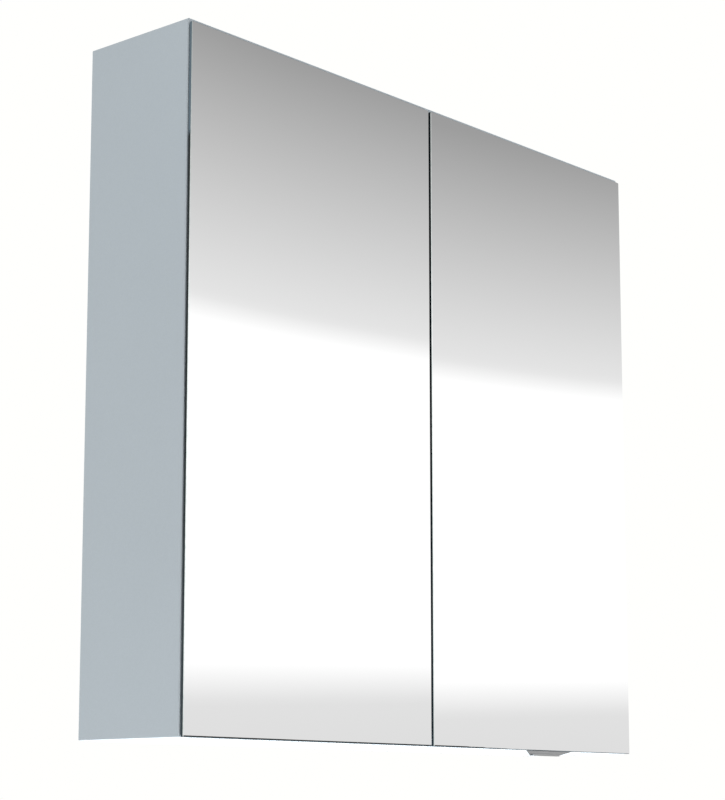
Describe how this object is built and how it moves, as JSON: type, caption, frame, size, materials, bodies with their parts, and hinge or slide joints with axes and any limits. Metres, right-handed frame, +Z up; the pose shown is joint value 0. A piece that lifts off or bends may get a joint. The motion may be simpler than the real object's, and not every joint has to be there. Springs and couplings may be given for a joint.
{
  "type": "hanging wall cabinet",
  "caption": "Wall-hung bathroom mirror cabinet with two frameless mirror doors on concealed elbow hinges, glass shelves and a steel wall rail.",
  "frame": {"origin": "middle of the wall rail's line of screws, on the wall plane", "axes": "+X to the right as seen from the front, +Y into the wall, +Z up; the doors face -Y"},
  "size_m": [0.75, 0.15, 0.726],
  "materials": {
    "carcass_board": "light blue-grey lacquered board, satin",
    "edge_band": "ABS edge banding matched to the board",
    "back_board": "thin white-grey melamine board",
    "dowel_beech": "turned beech",
    "cam_zinc": "die-cast zinc",
    "shelf_glass": "clear float glass with polished edges",
    "shelf_pin_steel": "nickel-plated steel",
    "mirror_glass": "silvered float glass with a polished arris",
    "mirror_backing": "safety film over the mirror backing paint",
    "pull_aluminium": "brushed and anodised",
    "adhesive_foam": "acrylic foam tape",
    "bumper_clear": "clear polyurethane",
    "catch_plastic": "moulded nylon",
    "strike_steel": "zinc-plated steel disc",
    "hinge_nickel": "nickel-plated zinc and steel",
    "link_steel": "hardened steel",
    "pin_steel": "steel pin",
    "screw_zinc": "zinc-plated steel",
    "rail_zinc": "galvanised steel"
  },
  "bodies": {
    "cabinet": {"left_side_panel": "carcass_board", "right_side_panel": "carcass_board", "top_panel": "carcass_board", "bottom_panel": "carcass_board", "centre_divider": "carcass_board", "back_panel": "back_board", "side_edge_bands": "edge_band", "cross_edge_bands": "edge_band", "divider_edge_band": "edge_band", "carcass_dowels": "dowel_beech", "cam_bolts": "cam_zinc", "cam_locks": "cam_zinc", "left_upper_shelf": "shelf_glass", "left_lower_shelf": "shelf_glass", "right_upper_shelf": "shelf_glass", "right_lower_shelf": "shelf_glass", "shelf_pins": "shelf_pin_steel", "door_bumpers": "bumper_clear", "left_magnet_catch": "catch_plastic", "right_magnet_catch": "catch_plastic", "left_upper_hinge_plate": "hinge_nickel", "left_lower_hinge_plate": "hinge_nickel", "right_upper_hinge_plate": "hinge_nickel", "right_lower_hinge_plate": "hinge_nickel", "left_upper_hinge_arm": "hinge_nickel", "left_lower_hinge_arm": "hinge_nickel", "right_upper_hinge_arm": "hinge_nickel", "right_lower_hinge_arm": "hinge_nickel", "arm_pins": "pin_steel", "hinge_screws": "screw_zinc", "wall_rail": "rail_zinc", "left_hanger_bracket": "rail_zinc", "right_hanger_bracket": "rail_zinc", "hanger_screws": "screw_zinc"},
    "left_door": {"left_door_mirror": "mirror_glass", "left_door_film": "mirror_backing", "left_strike_plate": "strike_steel", "left_boss_pads": "adhesive_foam", "left_boss_pins": "pin_steel", "left_upper_hinge_boss": "hinge_nickel", "left_lower_hinge_boss": "hinge_nickel"},
    "left_arm_links": {"left_upper_arm_link": "link_steel", "left_lower_arm_link": "link_steel", "left_elbow_pins": "pin_steel"},
    "left_boss_links": {"left_upper_boss_link": "link_steel", "left_lower_boss_link": "link_steel"},
    "right_door": {"right_door_mirror": "mirror_glass", "right_door_film": "mirror_backing", "right_strike_plate": "strike_steel", "right_boss_pads": "adhesive_foam", "right_boss_pins": "pin_steel", "right_upper_hinge_boss": "hinge_nickel", "right_lower_hinge_boss": "hinge_nickel", "finger_pull": "pull_aluminium", "finger_pull_tape": "adhesive_foam"},
    "right_arm_links": {"right_upper_arm_link": "link_steel", "right_lower_arm_link": "link_steel", "right_elbow_pins": "pin_steel"},
    "right_boss_links": {"right_upper_boss_link": "link_steel", "right_lower_boss_link": "link_steel"}
  },
  "joints": [
    {"name": "left_door_swing", "type": "hinge", "parent": "cabinet", "child": "left_door", "pos_m": [-0.3745, -0.148, -0.3], "axis": [0, 0, -1], "range_deg": [0, 105]},
    {"name": "left_arm_links_turn", "type": "hinge", "parent": "cabinet", "child": "left_arm_links", "pos_m": [-0.3535, -0.13, -0.3], "axis": [0, 0, -1], "range_deg": [0, 105]},
    {"name": "left_boss_links_turn", "type": "hinge", "parent": "left_door", "child": "left_boss_links", "pos_m": [-0.344, -0.139, -0.3], "axis": [0, 0, -1], "range_deg": [-105, 0]},
    {"name": "right_door_swing", "type": "hinge", "parent": "cabinet", "child": "right_door", "pos_m": [0.3745, -0.148, -0.3], "axis": [0, 0, 1], "range_deg": [0, 105]},
    {"name": "right_arm_links_turn", "type": "hinge", "parent": "cabinet", "child": "right_arm_links", "pos_m": [0.3535, -0.13, -0.3], "axis": [0, 0, 1], "range_deg": [0, 105]},
    {"name": "right_boss_links_turn", "type": "hinge", "parent": "right_door", "child": "right_boss_links", "pos_m": [0.344, -0.139, -0.3], "axis": [0, 0, 1], "range_deg": [-105, 0]}
  ],
  "couplings": [
    {"joint": "left_arm_links_turn", "follows": "left_door_swing", "ratio": 1},
    {"joint": "left_boss_links_turn", "follows": "left_door_swing", "ratio": -1},
    {"joint": "right_arm_links_turn", "follows": "right_door_swing", "ratio": 1},
    {"joint": "right_boss_links_turn", "follows": "right_door_swing", "ratio": -1}
  ]
}
